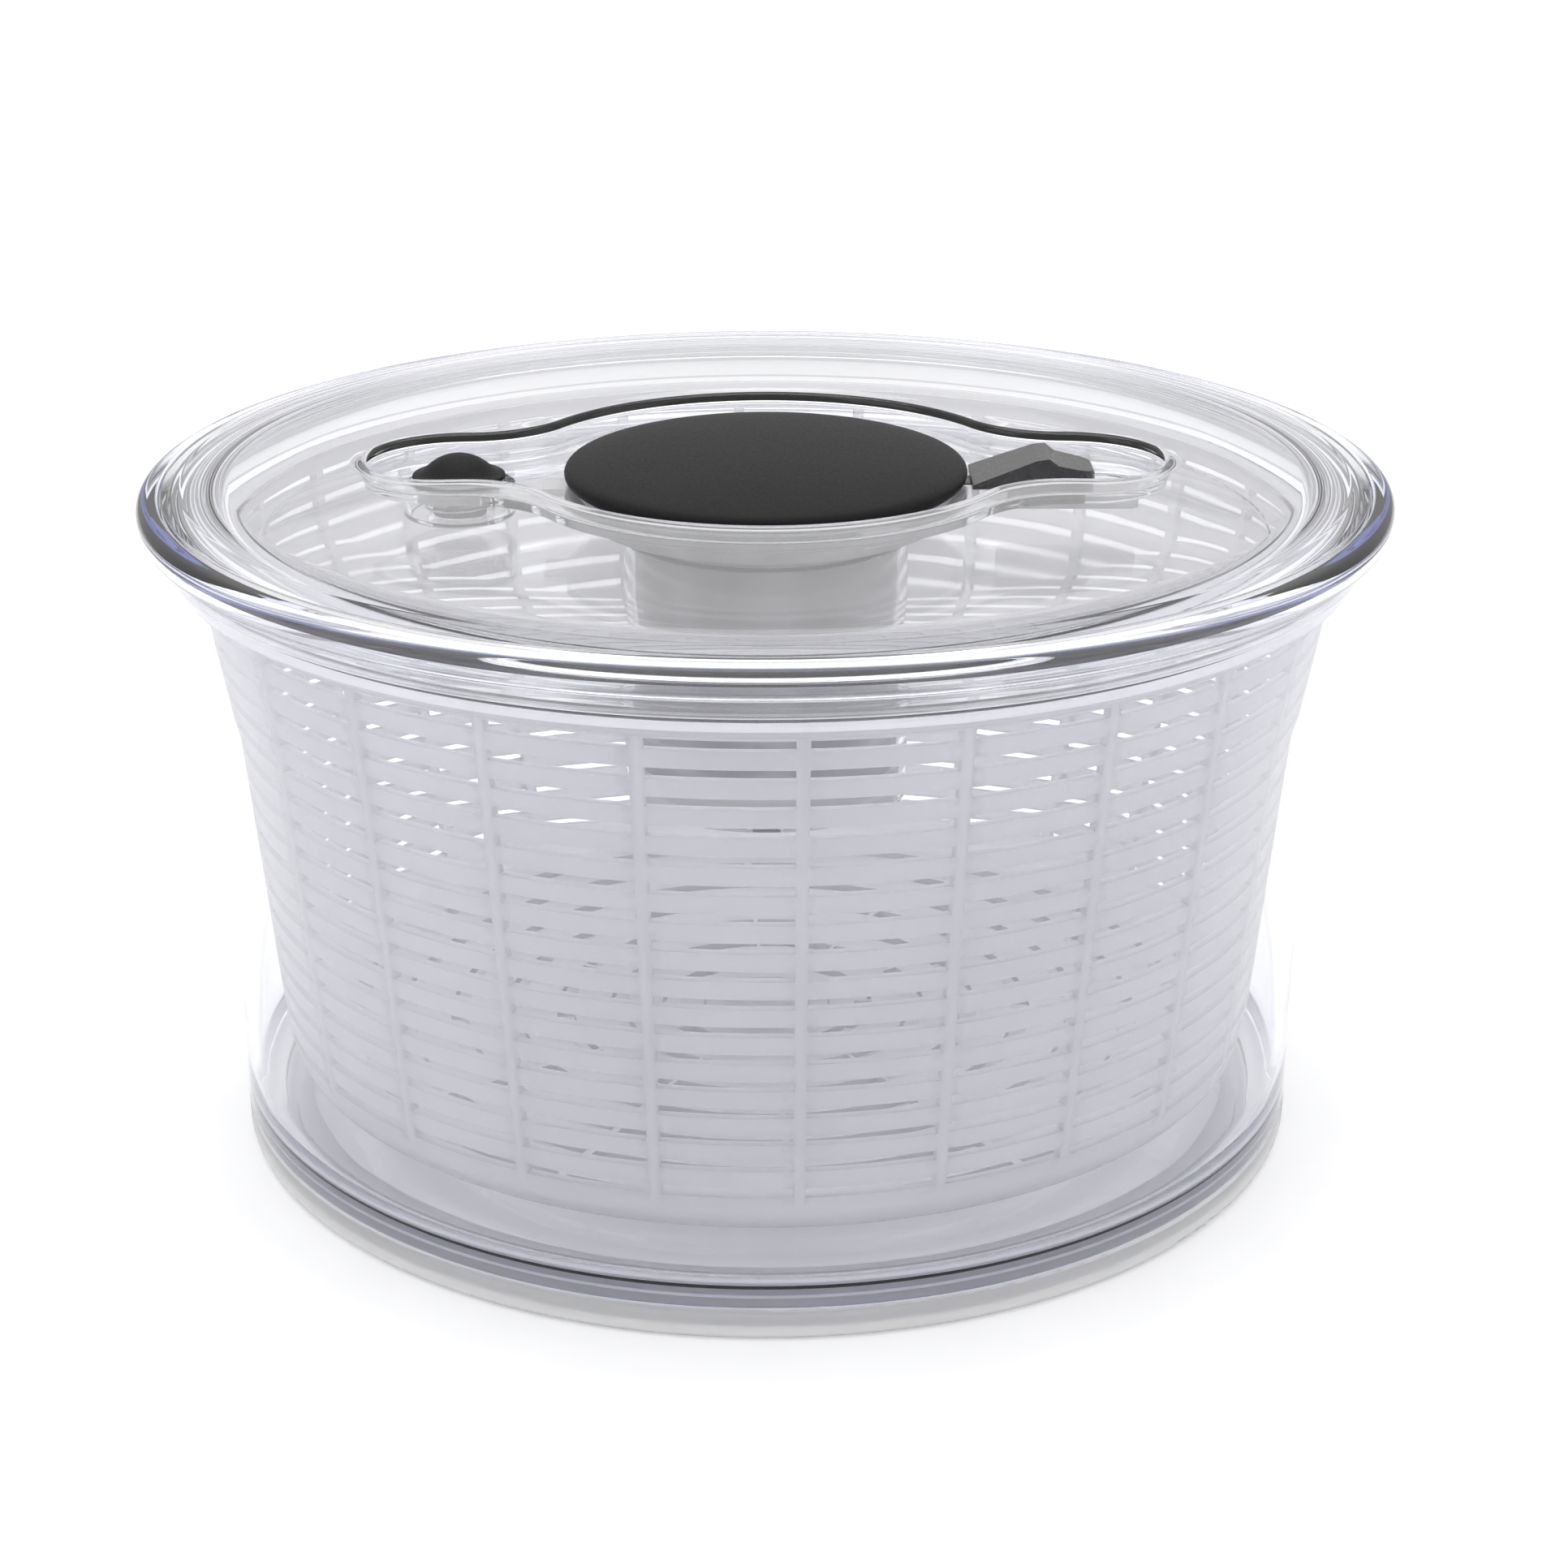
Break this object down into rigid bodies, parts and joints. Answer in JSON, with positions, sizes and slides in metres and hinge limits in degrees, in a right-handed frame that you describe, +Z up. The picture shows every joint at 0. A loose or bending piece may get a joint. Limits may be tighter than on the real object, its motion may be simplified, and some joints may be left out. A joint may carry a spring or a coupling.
{
  "type": "salad spinner",
  "caption": "Pump-driven salad spinner: clear bowl, strainer basket and clear lid with a push knob, brake button and lock slide.",
  "frame": {"origin": "centre of the foot ring's underside, on the axis that the basket turns about", "axes": "+Z up; the brake button is on -X and the lock slide on +X; the front faces -Y"},
  "size_m": [0.2666, 0.2666, 0.151],
  "materials": {
    "clear_plastic": "clear, polished, slightly lavender where thick",
    "turntable_plastic": "clear, polished",
    "basket_plastic": "milky translucent white, satin",
    "hub_plastic": "milky translucent white, satin",
    "foot_rubber": "pale translucent, soft satin",
    "soft_grip": "soft matte black",
    "core_plastic": "matte black",
    "black_plastic": "satin dark grey",
    "bearing_plastic": "natural white acetal",
    "pad_rubber": "soft grey",
    "spring_steel": "bright drawn wire"
  },
  "bodies": {
    "bowl": {"bowl": "clear_plastic", "foot_ring": "foot_rubber"},
    "basket": {"basket": "basket_plastic"},
    "lid": {"lid_shell": "clear_plastic", "hub_housing": "hub_plastic", "guide_collar": "hub_plastic", "spindle_bush": "bearing_plastic", "brake_guide": "clear_plastic", "lock_guide": "hub_plastic"},
    "turntable": {"turntable": "turntable_plastic", "drive_ring": "bearing_plastic"},
    "plunger": {"knob_grip": "soft_grip", "knob_core": "core_plastic", "plunger_sleeve": "hub_plastic", "drive_tube": "hub_plastic", "drive_nut": "bearing_plastic", "return_spring": "spring_steel"},
    "spindle": {"spindle": "bearing_plastic", "ratchet_wheel": "bearing_plastic", "pawls": "bearing_plastic", "spindle_clip": "spring_steel"},
    "brake_button": {"brake_button": "soft_grip", "brake_stem": "hub_plastic", "brake_pad": "pad_rubber", "brake_spring": "spring_steel"},
    "lock_slide": {"lock_slide": "black_plastic", "lock_shoe": "black_plastic"}
  },
  "joints": [
    {"name": "basket_spin", "type": "hinge", "parent": "bowl", "child": "basket", "pos_m": [0, 0, 0.02], "axis": [0, 0, 1], "continuous": true},
    {"name": "lid_lift", "type": "slide", "parent": "bowl", "child": "lid", "axis": [0, 0, 1], "range_m": [0, 0.12]},
    {"name": "turntable_spin", "type": "hinge", "parent": "lid", "child": "turntable", "pos_m": [0, 0, 0.08], "axis": [0, 0, 1], "continuous": true},
    {"name": "plunger_slide", "type": "slide", "parent": "lid", "child": "plunger", "axis": [0, 0, 1], "range_m": [0, 0.042], "deforming": ["return_spring"]},
    {"name": "spindle_spin", "type": "hinge", "parent": "lid", "child": "spindle", "pos_m": [0, 0, 0.085], "axis": [0, 0, 1], "range_deg": [-360.5, 0]},
    {"name": "brake_press", "type": "slide", "parent": "lid", "child": "brake_button", "axis": [0, 0, -1], "range_m": [0, 0.003], "stiffness_N_per_m": 400, "springref_m": -0.002, "deforming": ["brake_spring"]},
    {"name": "lock_release", "type": "slide", "parent": "lid", "child": "lock_slide", "axis": [1, 0, 0], "range_m": [0, 0.008]}
  ],
  "couplings": [
    {"joint": "turntable_spin", "follows": "basket_spin", "ratio": 1},
    {"joint": "spindle_spin", "follows": "plunger_slide", "rad_per_m": -149.6}
  ]
}
